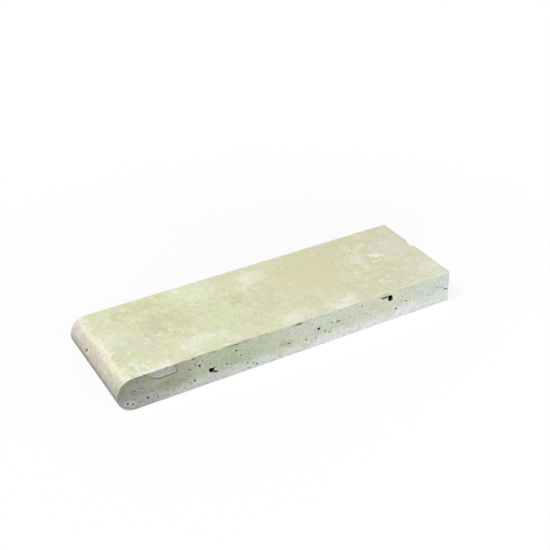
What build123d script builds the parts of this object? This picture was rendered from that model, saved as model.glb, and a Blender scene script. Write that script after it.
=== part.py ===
from build123d import *
from collections import namedtuple
import os

# A coping stone sawn from one piece of travertine: a long slab with a full bullnose on one short end,
# a plain sawn end opposite it, and natural voids open on its front joint face.
# Frame: X along the length with the bullnose at -X, Y across the width with the front face at -Y,
# Z up from the bed. The origin is the centre of the bed.

# Driving dimensions, in millimetres
LENGTH = 305.0        # nose of the bullnose to the plain end
WIDTH = 98.0          # front joint face to back joint face
THICKNESS = 29.0      # bed to top
ARRIS_EASE = 0.8      # radius left on each sawn arris

# Chip on the top arris of the plain end
CHIP_ACROSS = 0.58    # its middle, as a share of the width from the front face
CHIP_LENGTH = 11.0    # along the arris
CHIP_REACH = 2.8      # into the top face
CHIP_DROP = 2.4       # down the plain end

# Natural voids open on the front face. A void's place is a share of the length from the nose and a share
# of the thickness from the bed, so it stays on the face at other sizes of stone. Its mouth and depth are
# in millimetres, and its tilt is in degrees, positive where the mouth rises towards the plain end.
Void = namedtuple("Void", "along up mouth_length mouth_height depth tilt")
VOIDS = {
    "large void towards the nose": Void(0.255, 0.409, 5.6, 4.1, 7.0, -47),
    "tail of the void towards the nose": Void(0.2645, 0.333, 5.2, 2.1, 2.8, -22),
    "large void towards the plain end": Void(0.800, 0.767, 6.8, 4.8, 7.5, -73),
    "tail of the void towards the plain end": Void(0.7795, 0.846, 8.0, 2.2, 2.6, -3),
    "round void at mid length": Void(0.5715, 0.560, 2.4, 2.4, 4.0, 0),
    "low void in the nose": Void(0.0265, 0.258, 2.7, 1.9, 2.5, -28),
    "second low void in the nose": Void(0.039, 0.190, 2.3, 1.6, 2.2, -60),
    "void below the filler": Void(0.079, 0.245, 2.2, 2.0, 2.5, -45),
    "high void beside the large one": Void(0.2225, 0.680, 2.5, 2.0, 2.5, -50),
    "low void beside the large one": Void(0.207, 0.266, 2.2, 1.8, 2.5, -20),
    "high void at a third of the length": Void(0.3255, 0.776, 2.3, 1.8, 2.2, -60),
    "low void towards the plain end": Void(0.819, 0.342, 2.6, 1.8, 2.2, -30),
    "spall under the top arris": Void(0.511, 0.940, 7.0, 1.6, 1.3, 0),
}

# A full bullnose runs from the top to the bed in one half circle
NOSE_RADIUS = THICKNESS / 2
NOSE_X = -LENGTH / 2
PLAIN_END_X = LENGTH / 2
SPRING_X = NOSE_X + NOSE_RADIUS
FRONT_Y = -WIDTH / 2


def ellipsoid(size_x, size_y, size_z):
    """A rounded hollow of the given half sizes, centred on the origin."""
    return scale(Sphere(1), by=(size_x, size_y, size_z))


def sawn_slab():
    """The slab with its bullnose, drawn as a side section and drawn out across the width."""
    section = make_face(
        [
            Line((PLAIN_END_X, 0), (PLAIN_END_X, THICKNESS)),
            Line((PLAIN_END_X, THICKNESS), (SPRING_X, THICKNESS)),
            ThreePointArc((SPRING_X, THICKNESS), (NOSE_X, NOSE_RADIUS), (SPRING_X, 0)),
            Line((SPRING_X, 0), (PLAIN_END_X, 0)),
        ]
    )
    slab = extrude(Plane.XZ * section, amount=WIDTH / 2, both=True)
    joint_faces = slab.faces().filter_by(Axis.Y)
    plain_end = slab.faces().sort_by(Axis.X)[-1]
    across_the_end = plain_end.edges().filter_by(Axis.Y)
    return fillet(joint_faces.edges() + across_the_end, ARRIS_EASE)


def void_in_front_face(void):
    """One natural void, widest at the front face and closing into the stone."""
    hollow = ellipsoid(void.mouth_length / 2, void.depth, void.mouth_height / 2)
    x = NOSE_X + void.along * LENGTH
    z = void.up * THICKNESS
    return Pos(x, FRONT_Y, z) * Rot(0, -void.tilt, 0) * hollow


def chip_on_plain_end():
    """The shallow chip broken out of the plain end's top arris."""
    y = FRONT_Y + CHIP_ACROSS * WIDTH
    return Pos(PLAIN_END_X, y, THICKNESS) * ellipsoid(CHIP_REACH, CHIP_LENGTH / 2, CHIP_DROP)


coping_stone = sawn_slab() - chip_on_plain_end()
for void in VOIDS.values():
    coping_stone -= void_in_front_face(void)

os.makedirs("parts", exist_ok=True)
export_step(coping_stone, "parts/coping_stone.step")
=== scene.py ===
# %% [markdown]
# A coping stone is the flat stone that caps a wall, a step or the rim of a pool. This one was sawn
# from a single piece of travertine, with one short end ground to a full half round. The packed
# model gives its true size, so it is loaded first and the block below is sawn to its measure.

# %% Load the fixed frame and measure the stone
import math
import random
from collections import namedtuple

import bmesh
import bpy
import numpy as np
from mathutils import Matrix, Vector, noise


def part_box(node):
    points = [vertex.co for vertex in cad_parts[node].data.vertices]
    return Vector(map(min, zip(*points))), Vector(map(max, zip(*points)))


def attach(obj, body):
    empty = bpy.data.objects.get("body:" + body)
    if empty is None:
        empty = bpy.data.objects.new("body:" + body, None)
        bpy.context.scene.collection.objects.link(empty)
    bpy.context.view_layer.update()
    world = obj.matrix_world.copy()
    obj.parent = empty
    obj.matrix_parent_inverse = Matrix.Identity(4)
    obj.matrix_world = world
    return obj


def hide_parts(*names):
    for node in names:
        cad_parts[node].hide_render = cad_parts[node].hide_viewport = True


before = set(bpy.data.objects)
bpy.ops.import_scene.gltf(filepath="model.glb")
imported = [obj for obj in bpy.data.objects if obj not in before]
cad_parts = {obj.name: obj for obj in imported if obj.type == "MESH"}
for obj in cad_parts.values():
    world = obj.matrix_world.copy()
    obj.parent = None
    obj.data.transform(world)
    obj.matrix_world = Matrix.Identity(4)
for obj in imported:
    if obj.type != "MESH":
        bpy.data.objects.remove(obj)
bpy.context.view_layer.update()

MM = 0.001
low, high = (Vector(corner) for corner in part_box("coping_stone"))
length, width, thickness = high - low
print("stone, mm:", [round(side / MM, 1) for side in (length, width, thickness)])

# %% [markdown]
# The camera stands where the picture was taken from: to the left of the stone's front face and
# looking down on it. A constraint could aim it at the stone, but it wouldn't give the slight roll, so
# heading, dip and roll turn a camera that starts out looking along +Y.

# %% Set up the camera
EYE = Vector((-341.4, -632.4, 486.5)) * MM
HEADING, DIP, ROLL = (math.radians(angle) for angle in (-29.03, 31.39, -1.19))
LENS_MM = 67.71
SENSOR_MM = 36.0

camera_data = bpy.data.cameras.new("camera")
camera_data.lens = LENS_MM
camera_data.sensor_width = SENSOR_MM
camera = bpy.data.objects.new("camera", camera_data)
turn = Matrix.Rotation(HEADING, 4, "Z") @ Matrix.Rotation(math.pi / 2 - DIP, 4, "X")
camera.matrix_world = Matrix.Translation(EYE) @ turn @ Matrix.Rotation(ROLL, 4, "Z")
bpy.context.collection.objects.link(camera)
bpy.context.scene.camera = camera
print("camera distance, m:", round((EYE - (low + high) / 2).length, 3))

# %% [markdown]
# A saw leaves a plain block, so the mesh starts as a block of even cells. Cutting up Blender's own cube
# would give even cells too, but here the cells crowd together at the arrises, the long corners of the
# stone, because those are rounded next. Only the outside of the lattice is kept, as one closed skin.

# %% Saw the block as a lattice
CELL = 1.5 * MM
EASE = 0.8 * MM
CLOSE_STEPS = (0.0, 0.35, 0.7, 1.1, 1.7)

def lattice_steps(start, end, close_start=True, close_end=True):
    """Places along one edge of the block: close steps at an arris, even cells between."""
    before = [start + EASE * step for step in CLOSE_STEPS] if close_start else [start]
    after = [end - EASE * step for step in reversed(CLOSE_STEPS)] if close_end else [end]
    cells = max(2, round((after[0] - before[-1]) / CELL))
    between = np.linspace(before[-1], after[0], cells + 1)[1:-1]
    return np.array(before + list(between) + after)

steps = (
    lattice_steps(low.x, high.x, close_start=False),
    lattice_steps(low.y, high.y),
    lattice_steps(low.z, high.z),
)

def block_skin(steps):
    """Corner points and four-sided faces of the block's outside."""
    index, corners, faces = {}, [], []

    def corner(key):
        if key not in index:
            index[key] = len(corners)
            corners.append([steps[axis][key[axis]] for axis in range(3)])
        return index[key]

    last = [len(axis_steps) - 1 for axis_steps in steps]
    for axis in range(3):
        across, up = (axis + 1) % 3, (axis + 2) % 3
        for side in (0, last[axis]):
            for i in range(last[across]):
                for j in range(last[up]):
                    ring = []
                    for a, b in ((i, j), (i + 1, j), (i + 1, j + 1), (i, j + 1)):
                        key = [0, 0, 0]
                        key[axis], key[across], key[up] = side, a, b
                        ring.append(corner(tuple(key)))
                    faces.append(ring if side else ring[::-1])
    return np.array(corners), faces

points, faces = block_skin(steps)
print("block:", len(points), "points,", len(faces), "faces")

# %% [markdown]
# A profile wheel grinds the nose. A bevel could round it too, but it leaves long thin faces, which are
# poor to cut hollows into. Instead the square end of the block is drawn in, in the side section, to a
# half circle about the spring line: each square ring of cells becomes a round ring of the same reach.

# %% Grind the bullnose
TINY = 1e-9
radius = thickness / 2
spring_x = low.x + radius
middle_z = low.z + radius

reach_x = np.minimum(points[:, 0] - spring_x, 0)
reach_z = points[:, 2] - middle_z
square = np.maximum(np.abs(reach_x), np.abs(reach_z))
straight = np.hypot(reach_x, reach_z)
draw_in = np.where(reach_x < 0, square / np.maximum(straight, TINY), 1.0)
points[:, 0] = np.where(reach_x < 0, spring_x + reach_x * draw_in, points[:, 0])
points[:, 2] = middle_z + reach_z * draw_in
print("nose radius, mm:", round(radius / MM, 2))

# %% [markdown]
# Sawn arrises are eased with a rubbing stone, by hand, so they are never quite even. A bevel would give
# one radius all along, so each point near an arris is pulled back onto a small round by a sum. The
# round's radius drifts along the stone and is widest at the front corner of the plain end, where the
# stone has been handled most.

# %% Ease the arrises
WEAR_SPACING_M = 0.045
WEAR_OCTAVES = (1.0, 2.0, 3)
WEAR_SHARE = 0.3
WORN_CORNER = Vector((high.x, low.y, high.z))
WORN_REACH = 30 * MM
WORN_SHARE = 0.7

def easing_at(point):
    """Radius of the eased arris near a point."""
    drift = noise.fractal(Vector(point) / WEAR_SPACING_M, *WEAR_OCTAVES)
    handled = max(0.0, 1 - (Vector(point) - WORN_CORNER).length / WORN_REACH)
    return EASE * (1 + WEAR_SHARE * drift + WORN_SHARE * handled)

ease = np.array([easing_at(point) for point in points])
section_x = np.minimum(points[:, 0] - spring_x, 0)
section_z = points[:, 2] - middle_z
section_reach = np.maximum(np.hypot(section_x, section_z), TINY)
outward = {
    "section": np.stack([section_x, 0 * section_x, section_z], 1) / section_reach[:, None],
    "joint": np.stack([0 * ease, np.sign(points[:, 1]), 0 * ease], 1),
    "end": np.tile([1.0, 0.0, 0.0], (len(points), 1)),
}
depth_below = {
    "section": radius - section_reach,
    "joint": width / 2 - np.abs(points[:, 1]),
    "end": high.x - points[:, 0],
}
pushes = {face: np.maximum(ease - depth, 0) for face, depth in depth_below.items()}
total = np.sqrt(sum(push ** 2 for push in pushes.values()))
shrink = np.minimum(1.0, ease / np.maximum(total, TINY)) - 1.0
for face, push in pushes.items():
    points += outward[face] * (push * shrink)[:, None]
print("eased arris, mm:", round(ease.min() / MM, 2), "to", round(ease.max() / MM, 2))

# %% [markdown]
# Blender keeps a shape in a mesh, and an object puts that mesh in the scene. The points and faces are
# ready as lists, so the mesh is made from them in one go and needs no modelling tools.

# %% Make the stone's mesh
stone_mesh = bpy.data.meshes.new("sawn_stone")
stone_mesh.from_pydata(points.tolist(), [], faces)
stone = bpy.data.objects.new("sawn_stone", stone_mesh)
bpy.context.collection.objects.link(stone)
print("sawn stone:", len(stone_mesh.polygons), "faces")

# %% [markdown]
# Travertine forms in springs, and gas and plant stems leave hollows in it. The saw opens them on the
# joint faces, while the top is filled and honed. A dark spot of colour would look flat from the side, so
# each hollow is cut with a lumpy ball: its mouth is uneven and its inside is real. A place is a share of
# the length from the nose and of the height from the bed, and sizes are in millimetres: mouth length,
# mouth height and depth. The tilt is in degrees.

# %% List the hollows on the front face
Hollow = namedtuple("Hollow", "face along up mouth_length mouth_height depth tilt")
FRONT_HOLLOWS = [
    # the two large voids and their tails
    (0.255, 0.409, 5.6, 4.1, 7.0, -47), (0.2645, 0.333, 5.2, 2.1, 2.8, -22),
    (0.2625, 0.462, 2.4, 1.6, 1.2, 10),
    (0.800, 0.767, 6.8, 4.8, 7.5, -73), (0.7795, 0.846, 8.0, 2.2, 2.6, -3),
    (0.7877, 0.8425, 3.2, 2.4, 2.6, 0),
    # middling voids
    (0.5715, 0.560, 3.0, 2.8, 5.6, 0), (0.0265, 0.258, 2.7, 1.9, 2.5, -28),
    (0.039, 0.190, 2.3, 1.6, 2.2, -60), (0.079, 0.245, 2.2, 2.0, 2.5, -45),
    (0.2225, 0.680, 2.5, 2.0, 2.5, -50), (0.207, 0.266, 2.2, 1.8, 2.5, -20),
    (0.3255, 0.776, 2.3, 1.8, 2.2, -60), (0.819, 0.342, 2.6, 1.8, 2.2, -30),
    # the spall under the top arris
    (0.511, 0.940, 7.0, 1.6, 1.3, 0),
    # pores by the nose
    (0.046, 0.586, 1.9, 1.6, 1.4, -50), (0.041, 0.517, 1.8, 1.3, 0.9, 0),
    (0.067, 0.441, 1.5, 1.4, 0.9, 0), (0.054, 0.862, 1.4, 1.2, 1.0, 0),
    (0.106, 0.145, 1.9, 1.2, 1.2, -75), (0.195, 0.669, 1.9, 1.4, 1.1, 0),
    (0.194, 0.259, 2.0, 1.5, 1.0, 0), (0.218, 0.060, 1.3, 1.2, 0.9, 0),
    # pores between the nose and mid length
    (0.2511, 0.630, 1.9, 1.5, 0.9, 0), (0.2305, 0.821, 2.0, 1.4, 0.7, 0),
    (0.212, 0.764, 1.8, 1.4, 0.8, 0), (0.266, 0.910, 2.0, 1.3, 0.6, 0),
    (0.297, 0.459, 2.4, 2.0, 1.4, 0), (0.338, 0.569, 1.9, 1.6, 1.5, 0),
    (0.357, 0.245, 2.1, 1.7, 2.0, -40), (0.374, 0.179, 1.9, 1.5, 1.6, -40),
    (0.383, 0.124, 1.9, 1.6, 1.7, -40), (0.363, 0.055, 1.6, 1.3, 1.2, 0),
    (0.458, 0.434, 2.6, 1.1, 0.8, -10), (0.479, 0.414, 2.0, 1.6, 1.5, -30),
    (0.500, 0.669, 1.5, 1.3, 0.6, 0), (0.532, 0.341, 1.9, 1.5, 1.7, -60),
    (0.562, 0.286, 2.0, 1.6, 1.7, -60),
    # pores between mid length and the plain end
    (0.591, 0.421, 2.2, 1.7, 1.9, -60), (0.604, 0.331, 1.7, 1.4, 1.5, 0),
    (0.611, 0.628, 2.0, 1.5, 1.9, -20), (0.631, 0.600, 3.6, 1.6, 1.1, 0),
    (0.648, 0.603, 1.5, 1.1, 0.6, 80), (0.706, 0.824, 2.1, 1.4, 1.2, -20),
    (0.852, 0.491, 2.4, 1.5, 1.4, -25),
    # a short fissure at the plain end
    (0.958, 0.593, 3.0, 0.8, 0.8, -22), (0.975, 0.534, 3.0, 0.8, 0.8, -22),
    (0.989, 0.440, 3.8, 1.6, 1.9, -28),
    # nicks along the top arris
    (0.326, 0.960, 5.0, 1.5, 1.3, 0), (0.077, 0.960, 2.0, 1.2, 1.0, 0),
    (0.060, 0.955, 1.6, 1.2, 1.0, 0), (0.208, 0.965, 3.0, 1.4, 1.1, 0),
    (0.134, 0.970, 2.2, 1.4, 1.1, 0), (0.159, 0.955, 1.8, 1.4, 1.2, 0),
    (0.547, 0.965, 1.6, 1.3, 1.2, 0), (0.582, 0.935, 1.7, 1.2, 1.2, 0),
    # a pore in the filler
    (0.1536, 0.884, 1.2, 1.0, 0.9, 0),
]
hollows = [Hollow("front", *place) for place in FRONT_HOLLOWS]
print("front face:", len(hollows), "hollows")

# %% [markdown]
# The plain end has a chip on its top arris, made by one wide cutter and a small one that leaves an
# abrupt step. Three shallow pits lie on the ground nose, where the place is a share of the width from
# the back and of the half round from the top. They are cut in the same way as the hollows.

# %% List the chip and the pits in the nose
CHIP = [(0.58, 1.0, 11.0, 4.8, 2.8, 0), (0.618, 1.0, 3.4, 4.0, 2.9, 0)]
NOSE_PITS = [
    (0.352, 0.376, 4.4, 2.4, 2.2, 57), (0.885, 0.361, 3.4, 1.7, 1.4, -38),
    (0.165, 0.400, 2.0, 1.4, 1.2, -30),
]
hollows += [Hollow("end", *place) for place in CHIP]
hollows += [Hollow("nose", *place) for place in NOSE_PITS]
print("listed hollows:", len(hollows))

# %% [markdown]
# A spot on a face is a point and three directions: along the face, up it and out of it. With these, one
# cutter serves every face, whichever way the face looks.

# %% Describe the faces
def spot_on(face, along, up):
    """The point and the three directions at a share of a face's length and height."""
    if face == "nose":
        around = math.pi * (0.5 + up)
        out = Vector((math.cos(around), 0, math.sin(around)))
        centre = Vector((spring_x, high.y - along * width, middle_z)) + out * radius
        return centre, Vector((0, -1, 0)), Vector((out.z, 0, -out.x)), out
    corner, right, above, face_length, face_height = {
        "front": (Vector((low.x, low.y, low.z)), Vector((1, 0, 0)), Vector((0, 0, 1)), length, thickness),
        "back": (Vector((high.x, high.y, low.z)), Vector((-1, 0, 0)), Vector((0, 0, 1)), length, thickness),
        "end": (Vector((high.x, low.y, low.z)), Vector((0, 1, 0)), Vector((0, 0, 1)), width, thickness),
        "bed": (Vector((low.x, high.y, low.z)), Vector((1, 0, 0)), Vector((0, -1, 0)), length, width),
    }[face]
    centre = corner + right * along * face_length + above * up * face_height
    return centre, right, above, right.cross(above)

print("middle of the front face, mm:", [round(place / MM, 1) for place in spot_on("front", 0.5, 0.5)[0]])

# %% [markdown]
# The faces that the picture doesn't show get the same kind of hollows. A few larger ones are listed, most
# of them as pairs of cutters that run into each other. Pores are strewn by chance with a fixed seed, so
# they fall in the same places each time. Most are small, and drawn out along the bedding.

# %% Strew small pores
SEED = 7
STRETCH = (0.4, 0.9)
ALONG_RANGE = (0.04, 0.985)
UP_RANGE = (0.06, 0.94)
TILT_SPREAD = 25
DEPTH_SHARE = (0.3, 0.7)
chance = random.Random(SEED)

def strew(face, count, smallest, largest):
    """Adds pores at random places on a face, most of them small."""
    for _ in range(count):
        size = smallest + (largest - smallest) * chance.random() ** 3
        stretch = chance.uniform(*STRETCH)
        along, up = chance.uniform(*ALONG_RANGE), chance.uniform(*UP_RANGE)
        tilt = chance.gauss(0, TILT_SPREAD)
        depth = size * chance.uniform(*DEPTH_SHARE)
        hollows.append(Hollow(face, along, up, size, size * stretch, depth, tilt))

UNSEEN_HOLLOWS = [
    # two voids and a short fissure in the back
    ("back", 0.190, 0.620, 6.0, 3.4, 5.0, 35), ("back", 0.200, 0.690, 4.4, 2.0, 2.6, 10),
    ("back", 0.640, 0.340, 7.5, 2.6, 4.0, -8), ("back", 0.655, 0.380, 4.0, 2.8, 3.0, 40),
    ("back", 0.400, 0.770, 4.0, 1.0, 1.2, 18), ("back", 0.414, 0.805, 3.4, 0.9, 1.0, 12),
    # one void low in the plain end
    ("end", 0.300, 0.360, 4.6, 2.4, 3.4, -15), ("end", 0.318, 0.310, 3.0, 1.6, 2.0, 20),
    # four shallow hollows in the bed
    ("bed", 0.220, 0.300, 9.0, 4.0, 3.0, 20), ("bed", 0.238, 0.340, 5.0, 3.0, 2.2, -10),
    ("bed", 0.520, 0.680, 7.0, 4.6, 3.4, -30), ("bed", 0.540, 0.650, 5.0, 2.6, 2.0, 5),
    ("bed", 0.760, 0.420, 11.0, 3.4, 2.6, 8), ("bed", 0.350, 0.820, 6.0, 3.6, 2.8, 45),
]
hollows += [Hollow(*place) for place in UNSEEN_HOLLOWS]
strew("front", 60, 0.7, 1.5)
strew("back", 90, 0.6, 2.8)
strew("end", 30, 0.6, 2.2)
strew("bed", 130, 0.8, 4.0)
print("hollows in all:", len(hollows))

# %% [markdown]
# A cutter is a ball drawn out to the size of its hollow, with noise on its skin, because a smooth ball
# would leave a mouth like a drilled hole. Larger cutters get finer faces.

# %% Shape a cutter
LUMPS = 0.28
LUMP_PITCH = 1.6
LUMP_STEP = 3.7
FINE_ABOVE_MM = 2

def lumpy_ball(bm, hollow, number):
    """Adds one cutter, centred on its face and turned by its tilt."""
    centre, right, above, out = spot_on(hollow.face, hollow.along, hollow.up)
    turned = Matrix.Rotation(math.radians(hollow.tilt), 3, out)
    half_length = turned @ right * hollow.mouth_length / 2
    half_height = turned @ above * hollow.mouth_height / 2
    axes = (half_length, half_height, out * hollow.depth)
    detail = 3 if max(hollow.mouth_length, hollow.depth) > FINE_ABOVE_MM else 2
    ball = bmesh.ops.create_icosphere(bm, subdivisions=detail, radius=1.0)["verts"]
    for vert in ball:
        lump = 1 + LUMPS * noise.noise(vert.co * LUMP_PITCH + Vector((number * LUMP_STEP, 0, 0)))
        vert.co = centre + sum((axis * share * lump * MM for axis, share in zip(axes, vert.co)), Vector())

def span_of(hollow):
    """The middle of a cutter and the farthest that it reaches."""
    centre = spot_on(hollow.face, hollow.along, hollow.up)[0]
    return centre, max(hollow.mouth_length / 2, hollow.depth) * (1 + LUMPS) * MM

print("widest cutter, mm:", round(max(span_of(hollow)[1] for hollow in hollows) * 2 / MM, 1))

# %% [markdown]
# The cutters are taken away from the stone with a boolean, a group at a time. No two cutters in a group
# touch, so each cut is a plain one. The faces that a cutter leaves behind carry a second material for
# now, which marks the lining of the hollows for the next steps.

# %% Cut the hollows
stone_stuff = bpy.data.materials.new("travertine")
lining_mark = bpy.data.materials.new("lining_mark")
stone.data.materials.append(stone_stuff)

def cut_from(stone, bm):
    """Takes the cutters away from the stone."""
    cutter_mesh = bpy.data.meshes.new("cutters")
    bm.to_mesh(cutter_mesh)
    cutter_mesh.materials.append(lining_mark)
    cutters = bpy.data.objects.new("cutters", cutter_mesh)
    bpy.context.collection.objects.link(cutters)
    cut = stone.modifiers.new("hollows", "BOOLEAN")
    cut.operation = "DIFFERENCE"
    cut.solver = "MANIFOLD"
    cut.material_mode = "TRANSFER"
    cut.object = cutters
    seen = bpy.context.evaluated_depsgraph_get()
    whole = stone.data
    stone.data = bpy.data.meshes.new_from_object(stone.evaluated_get(seen))
    stone.modifiers.clear()
    bpy.data.objects.remove(cutters)
    bpy.data.meshes.remove(cutter_mesh)
    bpy.data.meshes.remove(whole)

groups = []
for number, hollow in enumerate(hollows):
    centre, reach = span_of(hollow)
    for group in groups:
        if all((centre - other).length > reach + other_reach for _, other, other_reach in group):
            group.append((number, centre, reach))
            break
    else:
        groups.append([(number, centre, reach)])

for group in groups:
    bm = bmesh.new()
    for number, _, _ in group:
        lumpy_ball(bm, hollows[number], number)
    cut_from(stone, bm)
    bm.free()
    print("cut", len(group), "hollows, faces now", len(stone.data.polygons))

# %% [markdown]
# Ground and sawn stone looks smooth, but the mouth of a hollow is a sharp break. Smooth shading rounds
# the look of every edge, so the steep ones are set sharp again. The lining is found by its mark.

# %% Shade smooth between sharp mouths
SHARP_ANGLE = math.radians(35)
stone.data.name = "sawn_stone"
stone.data.shade_smooth()
stone.data.set_sharp_from_angle(angle=SHARP_ANGLE)
slots = [material.name for material in stone.data.materials]
lining = np.empty(len(stone.data.polygons), dtype=int)
stone.data.polygons.foreach_get("material_index", lining)
lining = lining == slots.index("lining_mark")
print("materials:", slots, "lining faces:", int(lining.sum()), "of", len(lining))

# %% [markdown]
# Each side of the stone is laid flat on one sheet, so that its colours can be painted on a picture
# later. Blender can unwrap by itself, but a sheet worked out from the stone's own sides has few seams and
# one scale. The top unrolls over the nose; the bed, the plain end and the joint faces lie beside it.

# %% Lay a side flat
SHEET = (342.0, 270.0)
ORIGINS = {"top": (3, 3), "bed": (3, 105), "end": (303, 105), "front": (3, 207), "back": (3, 239)}
CHARTS = list(ORIGINS)

def flat(chart, spots):
    """Places in millimetres on a flat chart, for places in millimetres on the stone."""
    x, y, z = spots[..., 0], spots[..., 1], spots[..., 2]
    from_end, from_front = high.x / MM - x, y - low.y / MM
    if chart == "top":
        around = np.arctan2(np.maximum(spring_x / MM - x, 0), z - middle_z / MM)
        flat_top = np.minimum(from_end, (high.x - spring_x) / MM)
        return np.stack([flat_top + radius / MM * around, from_front], -1)
    if chart == "bed":
        return np.stack([from_end, from_front], -1)
    if chart == "end":
        return np.stack([z, from_front], -1)
    return np.stack([x - low.x / MM, z], -1)

print("charts on the sheet:", CHARTS)

# %% [markdown]
# A face of the mesh belongs to the side that it lies nearest to. The mesh is read into arrays, because
# sums on whole arrays are far quicker than a loop over tens of thousands of faces.

# %% Sort the faces by side
mesh = stone.data
spots = np.empty(len(mesh.vertices) * 3)
mesh.vertices.foreach_get("co", spots)
spots = spots.reshape(-1, 3) / MM
middles = np.empty(len(mesh.polygons) * 3)
mesh.polygons.foreach_get("center", middles)
middles = middles.reshape(-1, 3) / MM
sides = np.empty(len(mesh.polygons), dtype=int)
mesh.polygons.foreach_get("loop_total", sides)
corners = np.empty(len(mesh.loops), dtype=int)
mesh.loops.foreach_get("vertex_index", corners)

across = np.minimum(middles[:, 0] - spring_x / MM, 0)
section = radius / MM - np.hypot(across, middles[:, 2] - middle_z / MM)
joint = width / MM / 2 - np.abs(middles[:, 1])
end = high.x / MM - middles[:, 0]
nearest = np.argmin(np.stack([section, joint, end]), 0)
underneath = (middles[:, 2] < middle_z / MM) & (middles[:, 0] > spring_x / MM)
chart_of = np.where(underneath, CHARTS.index("bed"), CHARTS.index("top"))
chart_of[nearest == 1] = CHARTS.index("back")
chart_of[(nearest == 1) & (middles[:, 1] < 0)] = CHARTS.index("front")
chart_of[nearest == 2] = CHARTS.index("end")
print("faces by side:", {chart: int((chart_of == number).sum()) for number, chart in enumerate(CHARTS)})

# %% [markdown]
# A lining face belongs to the hollow that it lies nearest to, measured in that hollow's own size, and
# it goes on the chart of the side that the hollow opens on.

# %% Give each lining face its hollow
homes = [spot_on(hollow.face, hollow.along, hollow.up) for hollow in hollows]
home_centres = np.array([home[0] for home in homes]) / MM
home_reach = np.array([max(hollow.mouth_length / 2, hollow.depth) for hollow in hollows])
hollow_of = np.full(len(middles), -1)
for face in np.flatnonzero(lining):
    away = np.linalg.norm(home_centres - middles[face], axis=1) / home_reach
    hollow_of[face] = int(np.argmin(away))
    opens_on = hollows[hollow_of[face]].face
    chart_of[face] = CHARTS.index("top" if opens_on == "nose" else opens_on)
print("hollows with a lining:", len(np.unique(hollow_of[lining])))

# %% [markdown]
# Straight walls would fall on one line of a flat chart. So the lining of a hollow is drawn in towards the
# hollow's middle, the deeper the more, and its walls get room on the sheet too.

# %% Lay out the sheet
DRAWN_IN = 0.6
loop_face = np.repeat(np.arange(len(sides)), sides)
loop_spot = spots[corners]
sheet = np.zeros((len(corners), 2))
for number, chart in enumerate(CHARTS):
    here = chart_of[loop_face] == number
    sheet[here] = flat(chart, loop_spot[here])
    for lined in np.unique(hollow_of[loop_face[here]]):
        if lined < 0:
            continue
        walls = here & (hollow_of[loop_face] == lined)
        inward = (home_centres[lined] - loop_spot[walls]) @ np.array(homes[lined][3])
        share = np.clip(inward / (hollows[lined].depth * (1 + LUMPS)), 0, 1)[:, None]
        middle = flat(chart, home_centres[lined])
        sheet[walls] = middle + (sheet[walls] - middle) * (1 - DRAWN_IN * share)
    sheet[here] += ORIGINS[chart]

paint_map = mesh.uv_layers.new(name="OFBake")
paint_map.data.foreach_set("uv", (sheet / SHEET).ravel())
mesh.polygons.foreach_set("material_index", np.zeros(len(mesh.polygons), dtype=int))
mesh.materials.clear()
mesh.materials.append(stone_stuff)
bpy.data.materials.remove(lining_mark)
mesh.update()
print("corners on the sheet:", len(sheet))

# %% [markdown]
# The finish is built from shader nodes. They could be placed and joined by hand, but hundreds are needed.
# So a wire stands for one value flowing between nodes, and plain arithmetic on wires adds the nodes that
# do the sum. The rules below then read like ordinary sums.

# %% Write shader sums as plain sums
class Wire:
    """One value in a node tree."""

    def __init__(self, socket):
        self.socket = socket
        self.tree = socket.id_data

    def make(self, kind, settings=None, sockets=None, out=0):
        """Adds a node, with its settings first and then its socket values or links."""
        node = self.tree.nodes.new("ShaderNode" + kind)
        for name, value in (settings or {}).items():
            setattr(node, name, value)
        for name, value in (sockets or {}).items():
            if isinstance(value, Wire):
                self.tree.links.new(value.socket, node.inputs[name])
            else:
                node.inputs[name].default_value = value
        return Wire(node.outputs[out])

    def other(self, out):
        """Another output of the same node."""
        return Wire(self.socket.node.outputs[out])

    def sum(self, operation, first, second=0.0):
        """One sum on one or two values."""
        return self.make("Math", {"operation": operation}, {0: first, 1: second})

    def __add__(self, other):
        return self.sum("ADD", self, other)

    def __radd__(self, other):
        return self.sum("ADD", other, self)

    def __sub__(self, other):
        return self.sum("SUBTRACT", self, other)

    def __rsub__(self, other):
        return self.sum("SUBTRACT", other, self)

    def __mul__(self, other):
        return self.sum("MULTIPLY", self, other)

    def __rmul__(self, other):
        return self.sum("MULTIPLY", other, self)

    def __truediv__(self, other):
        return self.sum("DIVIDE", self, other)

    def __rtruediv__(self, other):
        return self.sum("DIVIDE", other, self)

    def __abs__(self):
        return self.sum("ABSOLUTE", self)

    def least(self, other):
        return self.sum("MINIMUM", self, other)

    def most(self, other):
        return self.sum("MAXIMUM", self, other)

    def root(self):
        return self.sum("SQRT", self)

    def fade(self, start, end):
        """Rises smoothly from 0 to 1 as the value goes from start to end."""
        limits = {"From Min": start, "From Max": end}
        return self.make("MapRange", {"interpolation_type": "SMOOTHSTEP"}, {"Value": self, **limits})

    def tint(self, tone, share):
        """This colour with a share of another tone laid over it."""
        over = tone if isinstance(tone, Wire) else (*tone, 1.0)
        return self.make("Mix", {"data_type": "RGBA"}, {0: share, 6: self, 7: over}, out=2)

    def shade(self, factor):
        """This colour made lighter or darker by a factor."""
        return self.make("VectorMath", {"operation": "SCALE"}, {0: self, "Scale": factor})

stone_stuff.use_nodes = True
tree = stone_stuff.node_tree
principled = tree.nodes["Principled BSDF"]
start = Wire(tree.nodes.new("ShaderNodeTexCoord").outputs["Object"])
print("shader nodes to start with:", len(tree.nodes))

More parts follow.
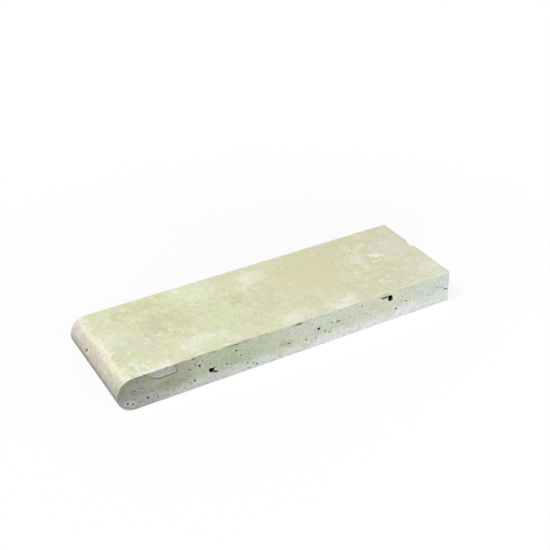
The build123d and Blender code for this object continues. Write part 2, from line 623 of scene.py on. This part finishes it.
# %% [markdown]
# The finish depends on where a point lies: on the honed top, round the nose or on a sawn face. That could
# be stored on the mesh, but sums on the place of a point stay sharp between the mesh's corners. These
# wires measure it in millimetres. Depth counts from the nearest outer face, with the eased arrises
# allowed for, so it grows only inside a hollow.

# %% Measure where a point lies
SIDE_BLEND = 0.3
ROUNDING = 1.0
axes = start.make("SeparateXYZ", sockets={0: start})
x, y, z = axes / MM, axes.other("Y") / MM, axes.other("Z") / MM

nose_x = (spring_x / MM - x).most(0.0)
nose_z = z - middle_z / MM
tilt = start.sum("ARCTAN2", nose_x, nose_z) * (180 / math.pi)
below_section = radius / MM - (nose_x * nose_x + nose_z * nose_z).root()
below_joint = width / MM / 2 - abs(y)
below_end = high.x / MM - x

on_joint = (below_section.least(below_end) - below_joint).fade(-SIDE_BLEND, SIDE_BLEND)
on_end = (below_section.least(below_joint) - below_end).fade(-SIDE_BLEND, SIDE_BLEND)
on_bed = tilt.fade(150, 176)
on_nose = nose_x.fade(0.0, 3.0)
sawn = on_joint.most(on_end).most(on_bed)

cut_back = [(ROUNDING - below).most(0.0) for below in (below_section, below_joint, below_end)]
arris_reach = (cut_back[0] * cut_back[0] + cut_back[1] * cut_back[1] + cut_back[2] * cut_back[2]).root()
deeper = (below_section.least(below_joint).least(below_end) - ROUNDING).most(0.0)
depth = ROUNDING - arris_reach + deeper
print("shader nodes for places:", len(tree.nodes))

# %% [markdown]
# Stone is cloudy at every size, from drifts as long as a hand to single grains. Noise gives that without
# a picture, and it runs on round every corner. A cloud is noise of a given size in millimetres, centred
# on nought. A patch is a group of ovals on a plan of the stone. Noise added to its reach tears the
# outline, and a bent plan keeps the ovals from looking drawn.

# %% Make clouds and ragged patches
NOISE_MIDDLE = 0.5
NOISE_GAIN = 8.0

def cloud(size, seed, detail=3.0, roughness=0.6):
    """Noise of a given size, mostly from -1 to 1."""
    sockets = {"Vector": start, "W": seed, "Scale": 1 / (size * MM)}
    sockets.update({"Detail": detail, "Roughness": roughness})
    return (start.make("TexNoise", {"noise_dimensions": "4D"}, sockets) - NOISE_MIDDLE) * NOISE_GAIN

drift = cloud(60, 1.3, 2.0)
mottle = cloud(17, 4.1, 4.0)
hue = cloud(13, 18.3, 5.0)
fleck = cloud(4.5, 7.7)
grain = cloud(1.7, 9.2, 2.0)
ragged = cloud(11, 5.4, 5.0, 0.7)
shred = fleck + cloud(2.6, 51.0)

def plan_of(across, up):
    """A flat plan, made from two measures in millimetres."""
    return start.make("CombineXYZ", sockets={0: across, 1: up})

top_plan = plan_of(x, y)
bent_plan = plan_of(x + cloud(24, 14.2, 4.0) * 5, y + cloud(24, 16.8, 4.0) * 5)
front_plan = plan_of(x, z)

def patch(plan, ovals, torn, soft):
    """1 inside any of the ovals on a plan; torn moves the outline and a soft edge is wide."""
    reach = None
    for across, up, half_across, half_up in ovals:
        shares = (1 / half_across, 1 / half_up, 0)
        middle = (-across / half_across, -up / half_up, 0)
        off = start.make("VectorMath", {"operation": "MULTIPLY_ADD"}, {0: plan, 1: shares, 2: middle})
        square = start.make("VectorMath", {"operation": "DOT_PRODUCT"}, {0: off, 1: off}, out="Value")
        reach = reach.least(square) if reach else square
    return (reach + torn).fade(1 + soft, 1 - soft)

def plain(tone):
    """One tone all over, for other tones to be laid on."""
    colour = start.make("RGB")
    colour.socket.default_value = (*tone, 1.0)
    return colour

print("shader nodes with the clouds:", len(tree.nodes))

# %% [markdown]
# The honed top is cream, with straw and sage drifts and a wide, calm tan area past mid length. One noise
# alone would look the same all over, so each tone is laid over the last in a place read from the
# picture, in millimetres from the middle of the stone.

# %% Colour the drifts on the top
CREAM = (0.735, 0.745, 0.50)
STRAW = (0.70, 0.72, 0.44)
SAGE = (0.67, 0.765, 0.46)
FAWN = (0.74, 0.655, 0.47)
DOVE = (0.73, 0.70, 0.62)
LEMON = (0.71, 0.725, 0.40)
RUST = (0.62, 0.59, 0.38)
CALM_AREA = [(49, 10, 34, 26)]
DRIFTS = [
    ((0.66, 0.665, 0.38), [(-81, 5, 16, 20), (-85, 39, 18, 9), (-134, -17, 8, 8), (141, -7, 7, 5)]),
    ((0.70, 0.755, 0.475), [(-42, -3, 17, 16), (-10, 17, 9, 9), (-52, -28, 14, 9)]),
    ((0.79, 0.835, 0.605), [(-52, 38, 22, 14)]),
    ((0.76, 0.795, 0.58), [(-132, 2, 10, 14)]),
    ((0.745, 0.71, 0.46), [(49, 10, 38, 30), (64, -21, 10, 12), (118, 37, 38, 10)]),
    ((0.72, 0.685, 0.51), [(96, -38, 28, 13), (-8, -7, 15, 12)]),
    ((0.67, 0.62, 0.39), [(-20, 5, 8, 6.5), (-84, 8, 9, 7), (-114, 33, 6, 5)]),
    ((0.64, 0.62, 0.46), [(-102, 0, 9, 13), (-112, -10, 9, 9)]),
    ((0.705, 0.705, 0.55), [(-120, -11, 16, 12)]),
    ((0.775, 0.79, 0.64), [(94, 12, 11, 10), (141, -38, 14, 12)]),
    ((0.775, 0.75, 0.60), [(132, 14, 17, 11)]),
    ((0.80, 0.815, 0.61), [(-77, -32, 16, 9), (0, 28, 14, 9), (47, -41, 13, 10), (6, -38, 14, 8)]),
]
top = plain(CREAM)
top = top.tint(STRAW, drift.fade(0.0, 1.0) * 0.5)
top = top.tint(SAGE, hue.fade(0.1, 1.2) * x.fade(120, 20) * 0.65)
top = top.tint(FAWN, hue.fade(-0.1, -1.2) * 0.65)
for tone, ovals in DRIFTS:
    top = top.tint(tone, patch(bent_plan, ovals, ragged * 0.8 + fleck * 0.15, soft=0.75) * 0.8)
top = top.tint(DOVE, cloud(8, 27.5, 4.0).fade(0.3, 1.4) * 0.35)
top = top.tint(LEMON, cloud(6, 29.1, 4.0).fade(0.3, 1.4) * 0.3)
calm = patch(bent_plan, CALM_AREA, ragged * 0.7, soft=0.85)
rusty = (cloud(4.5, 21.0) - mottle * 0.3).fade(0.5, 1.5) * (1 - calm * 0.6)
top = top.tint(RUST, rusty * 0.5)
print("shader nodes with the drifts:", len(tree.nodes))

# %% [markdown]
# The palest stone is calcite, which grew in old hollows. Wide veils of it are broken up like lace, and
# thin veins run through rosy stone towards the plain end. A vein or a thread of lace is where a noise
# passes through nought, which gives fine branching lines.

# %% Colour the veils and veins on the top
VEIL_WHITE = (0.91, 0.905, 0.785)
ROSE = (0.69, 0.63, 0.49)
VEIN_WHITE = (0.88, 0.85, 0.77)
CHALK = (0.88, 0.885, 0.70)
VEINED_AREA = [(106, 2, 34, 32)]
VEILS = [
    (-78, -31, 11, 7), (0, 28, 10, 7), (46, -43, 9, 7), (-114, -47, 15, 4), (-20, -46, 9, 3.5),
    (-50, -38, 5, 4), (-60, 44, 7, 6), (2, -40, 8, 5), (147, -33, 6, 6),
]
torn = shred * 0.8 + ragged * 0.35
lace = (abs(cloud(10, 65.0, 4.0)) + fleck * 0.1).fade(0.45, 0.06)
veils = patch(bent_plan, VEILS, torn, soft=0.7) * (0.28 + lace * 0.62)
top = top.tint(VEIL_WHITE, veils)
veined = patch(bent_plan, VEINED_AREA, ragged * 0.5, soft=0.7)
rosy = (cloud(15, 67.0, 4.0) + fleck * 0.2).fade(0.0, 1.0) * veined
top = top.tint(ROSE, rosy * 0.5)
veins = (abs(cloud(18, 61.0, 4.0)) + fleck * 0.08).fade(0.26, 0.03) * veined
top = top.tint(VEIN_WHITE, veins * 0.75)
chalky = (fleck + mottle * 0.7).fade(0.5, 1.9) * (1 - calm * 0.7)
top = top.tint(CHALK, chalky * 0.5)
print("shader nodes with the veils:", len(tree.nodes))

# %% [markdown]
# Small marks make a stone that one knows again: white splashes with crisp edges, two islands of darker
# stone among them, one brown dash, and a star near the plain end. Fine dark lines mark an old crack by
# the nose. The top also greys a little towards the plain end and the front.

# %% Colour the small marks on the top
SPLASH_WHITE = (0.94, 0.935, 0.87)
SPLASHES = [
    # a ring beside the nose and a run along the front arris
    (-132.4, -32.2, 2.4, 2.0), (-130.2, -36, 1.9, 2.6), (-131.2, -41.2, 1.6, 3.0), (-132, -46.2, 2.0, 2.4),
    (-126.6, -38.6, 2.8, 1.3), (-127.6, -46.9, 3.4, 1.3), (-123.6, -42.6, 1.3, 2.8), (-115, -47, 10, 2),
    (-107, -43, 2.2, 1.2), (-83.5, -46.4, 3.0, 1.2), (-59, -46.6, 3.4, 1.1),
    # in the veils
    (-90, -33.5, 2.6, 2.4), (-64.5, -29.5, 3.2, 1.3), (51, -39.5, 3.2, 1.7), (45.5, -46.8, 6, 1.5),
    (55.5, -40.2, 3.0, 2.0), (-58, 18.5, 2.2, 1.1), (-54, 15, 2.2, 1.0),
]
ISLAND_GREY = (0.58, 0.595, 0.45)
ISLANDS = [(-134.2, -41, 1.7, 3.6), (-128.4, -43, 1.7, 1.9)]
DASH_BROWN = (0.47, 0.36, 0.24)
DASH = [(-19.2, -19, 2.2, 0.5)]
STAR_WHITE = (0.98, 0.955, 0.95)
STAR = [
    (110, 9, 1.9, 1.4), (112.9, 7.4, 1.5, 1.7), (115.6, 5.6, 1.8, 1.5), (118.6, 3.4, 1.9, 1.3),
    (115, 8.8, 1.0, 0.9), (113.6, 4.2, 1.2, 1.3),
]
END_GREY = (0.80, 0.80, 0.72)
FRONT_GREY = (0.74, 0.735, 0.63)
CRACK_BROWN = (0.47, 0.45, 0.33)
CRACKED_AREA = [(-100, -5, 9, 8)]
top = top.tint(SPLASH_WHITE, patch(top_plan, SPLASHES, shred * 0.7, soft=0.8) * 0.7)
top = top.tint(ISLAND_GREY, patch(top_plan, ISLANDS, shred * 0.4, soft=0.8) * 0.45)
top = top.tint(DASH_BROWN, patch(top_plan, DASH, shred * 0.3, soft=0.6) * 0.6)
top = top.tint(STAR_WHITE, patch(top_plan, STAR, shred * 0.6, soft=0.7) * 0.95)
top = top.tint(END_GREY, x.fade(105, 150) * 0.3)
top = top.tint(FRONT_GREY, y.fade(0, -40) * 0.16)
cracked = patch(top_plan, CRACKED_AREA, ragged * 0.5, soft=0.7)
cracks = abs(cloud(9, 63.0, 2.0)).fade(0.12, 0.02) * cracked
top = top.tint(CRACK_BROWN, cracks * 0.55)
print("shader nodes with the small marks:", len(tree.nodes))

# %% [markdown]
# Round the nose the ground face shows a cream band just past the top, partly a painted highlight, then
# pinker stone, and greyer stone as it turns under, partly painted shade. A gradient down the height would
# stretch over the top of the round, so the tones follow the tilt of the face in degrees. The underside is
# darkened with painted shade.

# %% Colour the nose
CREAM_BAND_AND_HIGHLIGHT = (0.85, 0.82, 0.64)
TURN_PINK = (0.695, 0.635, 0.515)
TURN_GREY_AND_SHADE = (0.625, 0.59, 0.465)
BLUSH = (0.66, 0.57, 0.49)
SMOKE = (0.50, 0.50, 0.42)
NOSE_FLECK = (0.85, 0.82, 0.66)
NOSE_FRONT_SHADE = (0.50, 0.485, 0.40)
NOSE_BACK_LIGHT = (0.84, 0.83, 0.76)
SPOT_CREAM = (0.93, 0.91, 0.76)
UNDERSIDE_SHADE = (0.22, 0.22, 0.205)
NOSE_SPOTS = [
    (12.0, 18.2, 1.5, 1.2), (-23.0, 14.7, 1.4, 1.2), (-39.8, 16.0, 1.6, 1.2),
    (11.4, 15.2, 1.2, 1.0), (31.5, 8.2, 1.2, 2.0),
]
turned = tilt + mottle * 4 + fleck * 2
# A cream band just past the top: partly the stone's colour, partly a painted highlight.
nose = top.tint(CREAM_BAND_AND_HIGHLIGHT, turned.fade(7, 22) * 0.85)
nose = nose.tint(TURN_PINK, turned.fade(28, 44))
# Greyer stone as the nose turns under, partly painted shade.
nose = nose.tint(TURN_GREY_AND_SHADE, turned.fade(46, 76))
nose = nose.tint(BLUSH, hue.fade(0.1, 1.0) * tilt.fade(25, 45) * 0.6)
nose = nose.tint(SMOKE, cloud(10, 41.0, 4.0).fade(0.2, 1.4) * tilt.fade(30, 60) * 0.6)
nose = nose.tint(NOSE_FLECK, (fleck + hue * 0.6).fade(0.5, 1.5) * 0.4)
# Painted shade darkens the nose towards the front, and painted light pales it towards the back.
nose = nose.tint(NOSE_FRONT_SHADE, y.fade(10, -45) * tilt.fade(28, 55) * 0.3)
nose = nose.tint(NOSE_BACK_LIGHT, y.fade(15, 45) * 0.2)
nose_plan = plan_of(y, tilt * (math.pi / 180 * radius / MM))
nose = nose.tint(SPOT_CREAM, patch(nose_plan, NOSE_SPOTS, shred * 0.4, soft=0.6) * 0.6)
nose = nose.shade(1.06 + shred * 0.022 + grain * 0.01)
# Painted shade darkens the underside of the nose as it turns towards the floor.
nose = nose.tint(UNDERSIDE_SHADE, (tilt + ragged * 6 + fleck * 4).fade(72, 116))
honed = top.tint(nose, on_nose)
print("shader nodes with the nose:", len(tree.nodes))

# %% [markdown]
# The front face is greyer and greener than the top and darkens towards the nose, partly as painted shade.
# A cool pale layer runs along the bed, with an uneven upper edge, and the last part before the plain end is
# pale for its full height. The tones change along the face, so fades along its length lay them on one
# after another.

# %% Colour the front face
NOSE_GREY_AND_SHADE = (0.435, 0.465, 0.405)
FRONT_TONES = [
    ((0.47, 0.485, 0.36), (-145, -125)), ((0.575, 0.65, 0.475), (-104, -82)),
    ((0.685, 0.74, 0.57), (-60, 0)), ((0.72, 0.73, 0.605), (30, 70)),
]
TAN = (0.70, 0.69, 0.53)
PALE_END = (0.67, 0.71, 0.665)
LAYER_BY_NOSE = (0.555, 0.59, 0.55)
LAYER_TONES = [
    ((0.74, 0.79, 0.745), (-132, -88)), ((0.85, 0.88, 0.875), (-75, 15)), ((0.77, 0.80, 0.775), (95, 130)),
]
sawn_x = x + mottle * 3
# The darkening towards the nose is partly the stone's tone and partly painted shade.
front = plain(NOSE_GREY_AND_SHADE)
for tone, reach in FRONT_TONES:
    front = front.tint(tone, sawn_x.fade(*reach))
front = front.tint(TAN, x.fade(72, 88) * 0.4)
front = front.tint(PALE_END, (x + fleck).fade(113, 122))
pale_layer = plain(LAYER_BY_NOSE)
for tone, reach in LAYER_TONES:
    pale_layer = pale_layer.tint(tone, x.fade(*reach))
layer_edge = z + (y - low.y / MM) * 0.04 + drift * 0.6 + mottle * 0.35 + fleck * 0.25
front = front.tint(pale_layer, (layer_edge - x.fade(86, 102) * 1.8).fade(13.0, 4.5))
print("shader nodes with the front face:", len(tree.nodes))

# %% [markdown]
# Stains, dirt and pale calcite rims lie over those tones. Stains and rims are patches in places read
# from the picture, and the dirt is noise that thickens towards the nose.

# %% Mark the front face
def zone(*ovals):
    """1 inside soft ovals on the front face."""
    return patch(front_plan, ovals, fleck * 0.3, soft=0.65)

FRONT_STAINS = [
    ((0.745, 0.765, 0.725), 0.65, [(18, 22, 26, 7)]),
    ((0.56, 0.54, 0.36), 0.5, [(-9, 13, 7, 4), (21, 17, 4, 4)]),
    ((0.50, 0.545, 0.30), 0.5, [(-57, 15.5, 8, 5)]),
    ((0.70, 0.735, 0.74), 0.45, [(14, 23, 9, 5), (43, 25, 8, 4)]),
    ((0.44, 0.41, 0.28), 0.55, [(-108, 12.5, 12, 5)]),
]
NOSE_SOIL = (0.25, 0.25, 0.165)
NOSE_COOL = (0.44, 0.485, 0.47)
LEAF = (0.60, 0.69, 0.46)
CLAY = (0.64, 0.59, 0.47)
LILAC = (0.74, 0.72, 0.72)
DIRT = (0.20, 0.21, 0.15)
PINHOLE = (0.22, 0.21, 0.15)
BROWN_MARK = (0.36, 0.33, 0.22)
BROWN_MARKS = [(3.2, 27.3, 3.6, 1.1), (41, 17, 2.4, 0.9)]
RIM_WHITE = (0.76, 0.79, 0.70)
RIMS = [
    (-144.4, 7.5, 2.6, 2.4), (-140.6, 5.5, 2.4, 2.4), (-74.5, 11.0, 4.6, 4.2), (91.5, 22.0, 5.2, 5.2),
    (97.3, 9.9, 2.8, 2.4), (107.4, 14.2, 2.2, 2.0), (22, 16.2, 2.2, 2.4), (-62, 13.3, 2.4, 2.2),
]
for tone, share, ovals in FRONT_STAINS:
    front = front.tint(tone, zone(*ovals) * share)
by_nose = x.fade(-114, -132)
nose_rim = (below_section + fleck).fade(10, 2) * z.fade(9, 15)
front = front.tint(NOSE_SOIL, nose_rim * by_nose * 0.36)
front = front.tint(NOSE_COOL, z.fade(12, 6) * by_nose * 0.5)
inner = sawn_x.fade(-118, -90)
front = front.tint(LEAF, hue.fade(0.1, 1.1) * inner * 0.4)
front = front.tint(CLAY, hue.fade(-0.1, -1.1) * inner * 0.4)
front = front.tint(LILAC, cloud(9, 44.0, 4.0).fade(0.3, 1.3) * inner * 0.35)
soiled = (fleck * 0.6 + grain).fade(0.2, 1.6) * sawn_x.fade(-50, -115)
front = front.tint(DIRT, soiled * 0.52)
pinholes = cloud(1.3, 71.0, 1.0).fade(0.8, 1.4) * (0.32 + sawn_x.fade(-10, -110) * 0.68)
front = front.tint(PINHOLE, pinholes * 0.7)
front = front.tint(BROWN_MARK, zone(*BROWN_MARKS) * 0.65)
front = front.tint(RIM_WHITE, zone(*RIMS) * 0.5)
print("shader nodes with the front marks:", len(tree.nodes))

# %% [markdown]
# The back, the plain end and the bed don't show in the picture. They were sawn from the same block, so
# they share the front's layer and its kinds of tone, spread by noise and not by place.

# %% Colour the other sawn faces
GREEN_GREY = (0.66, 0.69, 0.52)
DEEP_GREEN = (0.58, 0.61, 0.44)
SAND = (0.72, 0.70, 0.54)
COOL_LAYER = (0.80, 0.83, 0.78)
OLIVE = (0.58, 0.67, 0.44)
BUFF = (0.64, 0.56, 0.43)
UMBER = (0.52, 0.49, 0.33)
SPECK = (0.24, 0.22, 0.16)
PALE_FLECK = (0.84, 0.86, 0.78)
BROWN_FLECK = (0.40, 0.39, 0.27)
unseen = plain(GREEN_GREY)
unseen = unseen.tint(DEEP_GREEN, drift.fade(0.0, 1.1) * 0.8)
unseen = unseen.tint(SAND, mottle.fade(0.1, 1.2) * 0.7)
unseen = unseen.tint(COOL_LAYER, layer_edge.fade(12.5, 5.0) * 0.9)
unseen = unseen.tint(OLIVE, hue.fade(0.1, 1.1) * 0.4)
unseen = unseen.tint(BUFF, hue.fade(-0.1, -1.1) * 0.45)
unseen = unseen.tint(UMBER, (drift * 0.6 + ragged).fade(0.5, 1.6) * 0.5)
unseen = unseen.tint(SPECK, cloud(1.5, 73.0, 1.0).fade(0.9, 1.5) * 0.5)
on_front = y.fade(2.0, -2.0) * on_joint
rough_stone = unseen.tint(front, on_front)
clean = 1 - on_front * sawn_x.fade(-80, -120)
rough_stone = rough_stone.tint(PALE_FLECK, (fleck + grain * 0.4).fade(0.5, 1.6) * clean * 0.16)
rough_stone = rough_stone.tint(BROWN_FLECK, (cloud(5, 33.0) + grain * 0.3).fade(0.6, 1.7) * 0.4)
print("shader nodes with the sawn faces:", len(tree.nodes))

# %% [markdown]
# An old hollow beside the nose was filled with a pale cement paste before sawing. It could be a piece of
# its own, but it is flush with the stone and set hard in it, so colour is enough. Its patch hangs from
# the arris like a tongue, with a rounded end towards the plain end. A pale rim runs inside its lower edge
# and a dark line outside it, with greener stone below.

# %% Colour the filler
FILLER_LEFT = -127
FILLER_RIGHT = -103.2
FILLER_LOW = 21.6
FILLER_HIGH = 30.2
FILLER_BEND = -112
FILLER_ROUND = 2.6
BELOW_FILLER = (-119, 18.4, 9, 1.8)
FILLER_GREEN = (0.50, 0.60, 0.42)
PASTE = (0.525, 0.565, 0.525)
PASTE_WARM = (0.58, 0.57, 0.57)
FILLER_RIM = (0.72, 0.77, 0.70)
FILLER_LINE = (0.22, 0.23, 0.19)
from_left = (x - FILLER_LEFT - (high.z / MM - z) * 0.8) * 0.85
from_right = FILLER_RIGHT - x
from_lower = z - FILLER_LOW
past_bend, before_bend = (x - FILLER_BEND).most(0.0), (FILLER_BEND - x).most(0.0)
from_upper = (FILLER_HIGH - past_bend * 0.6 - z + before_bend) * 0.9
off = [(FILLER_ROUND - side).most(0.0) for side in (from_left, from_right, from_lower, from_upper)]
off_square = off[0] * off[0] + off[1] * off[1] + off[2] * off[2] + off[3] * off[3]
filler_in = FILLER_ROUND - off_square.root() + fleck * 0.3
filler = filler_in.fade(-0.25, 0.35) * on_front
low_edge = from_lower.fade(4.0, 1.5) * on_front
filler_rim = filler_in.fade(0.1, 0.5) * filler_in.fade(2.2, 1.0) * low_edge
filler_line = abs(filler_in + 0.5).fade(1.1, 0.3) * low_edge
rough_stone = rough_stone.tint(FILLER_GREEN, zone(BELOW_FILLER) * on_front * 0.45)
paste = rough_stone.tint(PASTE, 0.85)
paste = paste.tint(PASTE_WARM, hue.fade(-0.4, 0.8) * 0.5)
rough_stone = rough_stone.tint(paste, filler * 0.9)
rough_stone = rough_stone.tint(FILLER_RIM, filler_rim * 0.55)
rough_stone = rough_stone.tint(FILLER_LINE, filler_line * 0.8)
print("shader nodes with the filler:", len(tree.nodes))

# %% [markdown]
# A run of the front arris is darker, and the arris of the plain end is darkened with painted shade.
# Single grains vary the tone of every face a little, least in the calm tan area. A factor on the whole
# colour does that for all the faces at once.

# %% Colour the arrises and the grain
ARRIS_DARK = (0.30, 0.29, 0.20)
END_ARRIS_SHADE = (0.60, 0.58, 0.50)
stone_tone = honed.tint(rough_stone, sawn)
on_upper = z.fade(18, 24)
# A run of the front arris is darker, broken up by noise.
front_arris = below_joint.fade(1.3, 0.4) * below_section.fade(1.6, 0.7) * y.fade(2.0, -2.0) * on_upper
dark_run = x.fade(-106, -96) * x.fade(-14, -40) * (fleck + mottle).fade(-0.8, 0.5)
stone_tone = stone_tone.tint(ARRIS_DARK, front_arris * dark_run * 0.65)
# Painted shade on the eased arris of the plain end, which faces away from the key lamp.
end_arris_shade = below_end.fade(2.4, 0.4) * below_section.fade(2.0, 1.0) * on_upper
stone_tone = stone_tone.tint(END_ARRIS_SHADE, end_arris_shade * 0.6)
lively = 1 - calm * (1 - sawn) * 0.55
stone_tone = stone_tone.shade(1 + (grain * (0.036 + sawn * 0.032) + shred * 0.028) * lively)
print("shader nodes with the arrises:", len(tree.nodes))

# %% [markdown]
# The lining browns at the mouth, as dirt gathers there, and goes nearly black where it is deep: that is
# painted shade, as the render's shadow alone would leave the walls as pale as the faces. The chip is a
# fresh break and stays pale.

# %% Colour the hollows
CHIP_Y = 8
MOUTH_BROWN = (0.24, 0.21, 0.14)
DEEP_SHADE = (0.012, 0.011, 0.008)
FRESH_BREAK = (0.72, 0.70, 0.56)
chip_x, chip_y, chip_z = x - high.x / MM, (y - CHIP_Y) * 0.7, z - high.z / MM
in_chip = (chip_x * chip_x + chip_y * chip_y + chip_z * chip_z).root().fade(9.0, 7.0)
dirt_and_shade = depth * (1 - in_chip)
stone_tone = stone_tone.tint(MOUTH_BROWN, dirt_and_shade.fade(0.25, 0.9) * 0.8)
# Painted shade: deep in a hollow the lining goes nearly black.
stone_tone = stone_tone.tint(DEEP_SHADE, dirt_and_shade.fade(0.8, 2.6))
stone_tone = stone_tone.tint(FRESH_BREAK, in_chip * depth.fade(0.1, 0.6) * 0.7)
print("shader nodes with the hollows:", len(tree.nodes))

# %% [markdown]
# Honing leaves a soft sheen on the top and the nose, and the saw leaves the other faces dull. Grains are
# too fine to be worth faces of their own, so a bump gives them: single grains everywhere, and a coarser
# tooth on the sawn faces.

# %% Finish the surface
SHEEN = 0.2
BUMP_STRENGTH = 0.35
BUMP_HEIGHT_M = 0.00008
roughness = 0.6 + sawn * 0.2 + fleck * 0.02 + depth.fade(0.2, 0.8) * 0.15
tooth = cloud(0.7, 12.0, 2.0, 0.6)
relief = grain * 0.5 + tooth * (0.25 + sawn * 0.75)
bump_sockets = {"Strength": BUMP_STRENGTH, "Distance": BUMP_HEIGHT_M, "Height": relief}
bump = start.make("Bump", sockets=bump_sockets, out="Normal")
principled.inputs["Specular IOR Level"].default_value = SHEEN
tree.links.new(stone_tone.socket, principled.inputs["Base Color"])
tree.links.new(roughness.socket, principled.inputs["Roughness"])
tree.links.new(bump.socket, principled.inputs["Normal"])
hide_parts("coping_stone")
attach(stone, "root")
print("shader nodes in all:", len(tree.nodes))

# %% [markdown]
# The stone lies on a plain white floor. More light would whiten the floor, but it would bleach the stone
# too. So each look of the floor is a shader of its own, and the kind of ray picks between them. Seen
# straight, or in a reflection, the floor is white and keeps the stone's soft shadow, which dies out with
# distance. For the light that it throws back on the stone the floor is a mid grey.

# %% Lay the floor
FLOOR_REACH = 3.0
FLOOR_GAP = 0.05 * MM
FLOOR_GREY = (0.55, 0.55, 0.55, 1.0)
FLOOR_WHITE = (0.98, 0.98, 0.98, 1.0)
WHITE = (1.0, 1.0, 1.0, 1.0)
GLOW_SHARE = 0.84
SHADOW_DIES = (0.15, 0.4)
floor_mesh = bpy.data.meshes.new("floor")
floor_signs = ((-1, -1), (1, -1), (1, 1), (-1, 1))
floor_corners = [(across * FLOOR_REACH, along * FLOOR_REACH, 0) for across, along in floor_signs]
floor_mesh.from_pydata(floor_corners, [], [(0, 1, 2, 3)])
floor = bpy.data.objects.new("floor", floor_mesh)
floor.location.z = low.z - FLOOR_GAP
bpy.context.collection.objects.link(floor)

def seen_by_eye(tree):
    """1 for a ray from the camera or a reflection, and 0 for light that bounces about."""
    path = Wire(tree.nodes.new("ShaderNodeLightPath").outputs["Is Camera Ray"])
    return path.most(path.other("Is Glossy Ray")).most(path.other("Is Transmission Ray"))

floor_stuff = bpy.data.materials.new("floor")
floor_stuff.use_nodes = True
floor_tree = floor_stuff.node_tree
floor_tree.nodes.remove(floor_tree.nodes["Principled BSDF"])
seen = seen_by_eye(floor_tree)
matt_grey = seen.make("BsdfDiffuse", sockets={"Color": FLOOR_GREY})
matt_white = seen.make("BsdfDiffuse", sockets={"Color": FLOOR_WHITE})
glow = seen.make("Emission", sockets={"Color": WHITE, "Strength": 1.0})
place = seen.make("TexCoord", out="Object")
away = seen.make("VectorMath", {"operation": "LENGTH"}, {0: place}, out="Value")
glowing = GLOW_SHARE + away.fade(*SHADOW_DIES) * (1 - GLOW_SHARE)
white = seen.make("MixShader", sockets={0: glowing, 1: matt_white, 2: glow})
mixed = seen.make("MixShader", sockets={0: seen, 1: matt_grey, 2: white})
floor_tree.links.new(mixed.socket, floor_tree.nodes["Material Output"].inputs["Surface"])
floor_mesh.materials.append(floor_stuff)
print("floor, m across:", 2 * FLOOR_REACH)

# %% [markdown]
# The world is the light from all round, and the backdrop. It is white to the eye and adds only an even,
# faint light to the stone, so the same kind of choice by ray is made here.

# %% Light the world
WORLD_LIGHT = 0.15
world = bpy.data.worlds.new("world")
bpy.context.scene.world = world
world.use_nodes = True
world_tree = world.node_tree
world_tree.nodes.remove(world_tree.nodes["Background"])
seen = seen_by_eye(world_tree)
faint = seen.make("Background", sockets={"Color": WHITE, "Strength": WORLD_LIGHT})
bright = seen.make("Background", sockets={"Color": WHITE, "Strength": 1.0})
sky = seen.make("MixShader", sockets={0: seen, 1: faint, 2: bright})
world_tree.links.new(sky.socket, world_tree.nodes["World Output"].inputs["Surface"])
print("world light:", WORLD_LIGHT)

# %% [markdown]
# One broad soft lamp stands high over the nose end and lights the top and the nose. Two low lamps stand in
# front: one lifts the plain end of the front face, and one the whole of it. A fourth stands low behind,
# for the faces at the back. Sun lamps would throw hard shadows, so all four are square area lamps.

# %% Set the lamps
LAMPS = {
    # place and aim in metres, size in metres, power in watts
    "key": ((-0.74, -0.10, 1.18), (0, 0, 0), 0.5, 13.3),
    "side_fill": ((0.38, -0.44, 0.22), (0.12, 0, 0.01), 0.3, 1.4),
    "front_fill": ((-0.05, -0.8, 0.25), (-0.02, 0, 0.01), 0.5, 1.2),
    "back_fill": ((0.18, 0.75, 0.14), (0.03, 0, 0.01), 0.4, 1.9),
}

def softbox(name, place, aim, size, watts):
    """A square lamp that faces a point."""
    data = bpy.data.lights.new(name, "AREA")
    data.energy = watts
    data.size = size
    lamp = bpy.data.objects.new(name, data)
    lamp.location = place
    lamp.rotation_euler = (Vector(aim) - Vector(place)).to_track_quat("-Z", "Y").to_euler()
    bpy.context.collection.objects.link(lamp)

for name, settings in LAMPS.items():
    softbox(name, *settings)
bpy.context.scene.view_settings.view_transform = "Standard"
print("lamps:", list(LAMPS))
